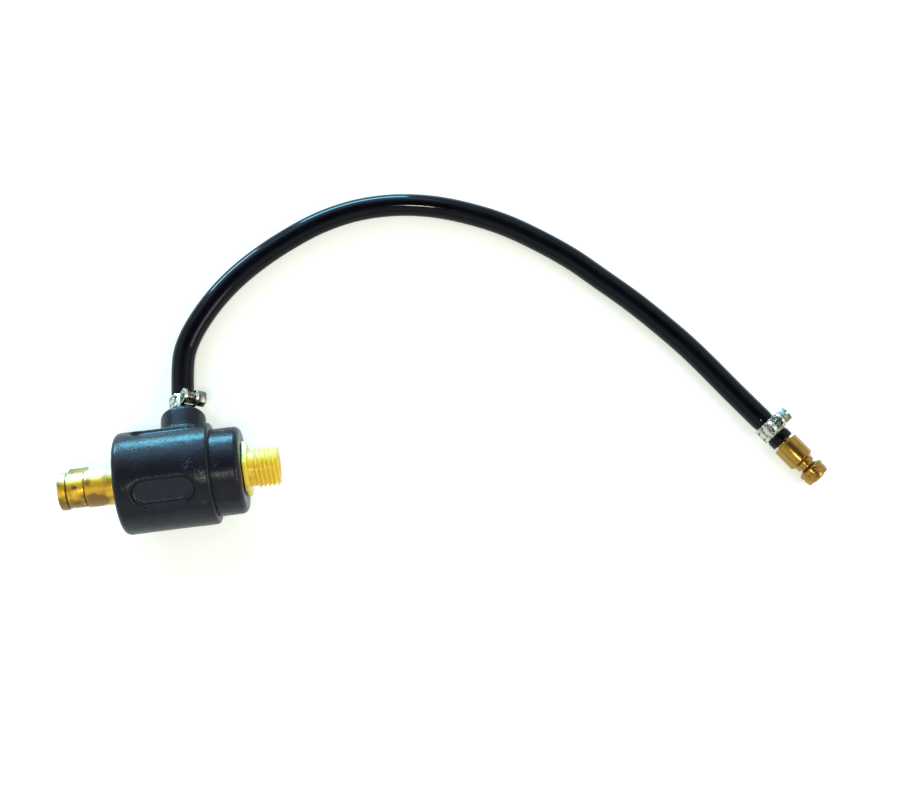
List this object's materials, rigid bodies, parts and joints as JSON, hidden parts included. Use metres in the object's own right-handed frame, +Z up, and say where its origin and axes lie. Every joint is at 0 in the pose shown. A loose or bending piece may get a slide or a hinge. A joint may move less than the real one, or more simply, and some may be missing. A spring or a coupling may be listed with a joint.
{
  "type": "tig torch adaptor",
  "caption": "Insulated brass adaptor that couples a bayonet cable plug to a threaded gas-through TIG torch stud, with a side gas hose that ends in a quick-coupling plug.",
  "frame": {"origin": "centre of the bayonet pin's tip face", "axes": "+X along the plug axis from the pin towards the torch stud, +Z up as the adaptor lies on a table, +Y towards the gas boss and the hose"},
  "size_m": [0.2636, 0.1249, 0.035],
  "materials": {
    "moulded_rubber": "moulded, satin with a blue-black sheen",
    "liner_plastic": "phenolic tube, matt",
    "turned_brass": "as turned",
    "pin_brass": "turned, brown tarnish spots",
    "bright_brass": "turned, bright",
    "plug_brass": "turned, darkened",
    "blackened_steel": "black oxide",
    "fibre_washer": "pressed fibre",
    "seal_rubber": "smooth",
    "hose_rubber": "extruded, glossy",
    "plated_steel": "zinc plated, bright",
    "screw_steel": "zinc plated, rolled thread"
  },
  "bodies": {
    "adaptor": {"outer_sleeve": "moulded_rubber", "end_collar": "moulded_rubber", "insulating_liner": "liner_plastic", "contact_block": "turned_brass", "bayonet_pin": "pin_brass", "pin_lock_screw": "blackened_steel", "stud_lock_screw": "blackened_steel", "torch_stud": "bright_brass", "stud_washer": "fibre_washer", "stud_o_ring": "seal_rubber", "gas_nipple": "turned_brass", "nipple_washer": "fibre_washer", "gas_hose": "hose_rubber", "near_clip_band": "plated_steel", "near_clip_housing": "plated_steel", "far_clip_band": "plated_steel", "far_clip_housing": "plated_steel", "gas_plug": "plug_brass"},
    "near_clip_screw_body": {"near_clip_screw": "screw_steel"},
    "far_clip_screw_body": {"far_clip_screw": "screw_steel"}
  },
  "joints": [
    {"name": "near_clip_screw_turn", "type": "hinge", "parent": "adaptor", "child": "near_clip_screw_body", "pos_m": [0.04566, 0.02899, -0.00527], "axis": [0.848, -0.1856, -0.4964], "continuous": true},
    {"name": "far_clip_screw_turn", "type": "hinge", "parent": "adaptor", "child": "far_clip_screw_body", "pos_m": [0.24701, -0.00589, -0.00666], "axis": [0.8032, 0.5793, -0.1392], "continuous": true}
  ]
}
